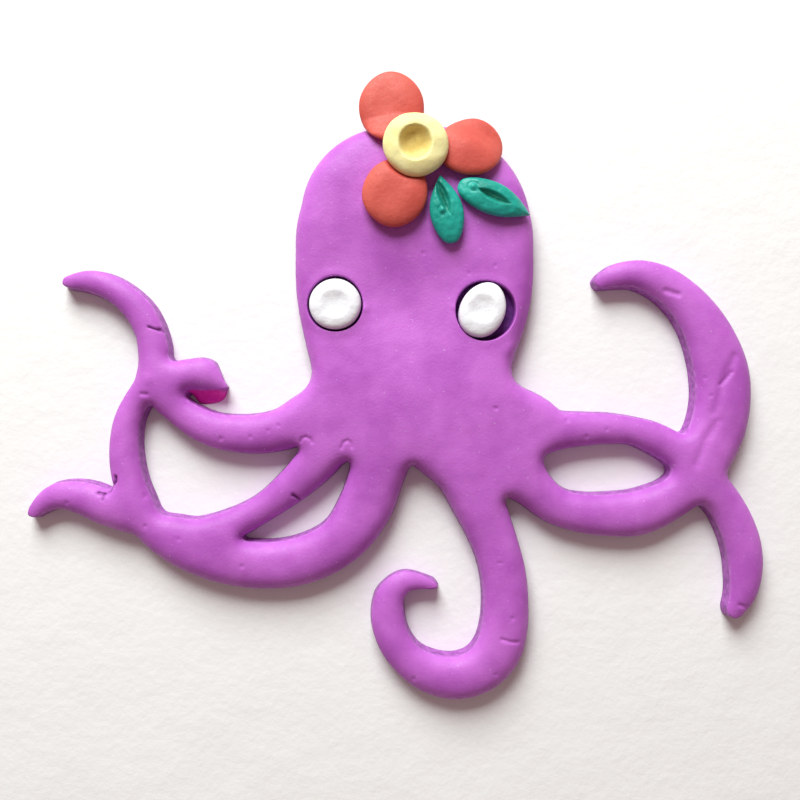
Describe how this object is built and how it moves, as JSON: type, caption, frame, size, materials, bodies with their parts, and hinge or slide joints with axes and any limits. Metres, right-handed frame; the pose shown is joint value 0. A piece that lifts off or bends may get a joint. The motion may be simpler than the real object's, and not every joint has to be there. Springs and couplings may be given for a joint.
{
  "type": "clay octopus plaque",
  "caption": "Flat octopus figure of modelling clay with curling arms, dimpled disc eyes, and a ball flower and leaves on its head.",
  "frame": {"origin": "on the flat back, under the middle of the whole figure's bounding box", "axes": "+Z out of the figure's face, away from the surface it lies on; +X to the right when looking at the face; +Y towards the top of the head"},
  "size_m": [0.1108, 0.094, 0.0088],
  "materials": {
    "purple_clay": "matte, modelling clay",
    "white_clay": "satin, modelling clay",
    "coral_clay": "matte, modelling clay",
    "yellow_clay": "matte, modelling clay",
    "green_clay": "satin, modelling clay"
  },
  "bodies": {
    "root": {"body_sheet": "purple_clay", "left_eye": "white_clay", "right_eye": "white_clay", "upper_petal": "coral_clay", "right_petal": "coral_clay", "lower_petal": "coral_clay", "flower_centre": "yellow_clay", "short_leaf": "green_clay", "long_leaf": "green_clay"}
  },
  "joints": []
}
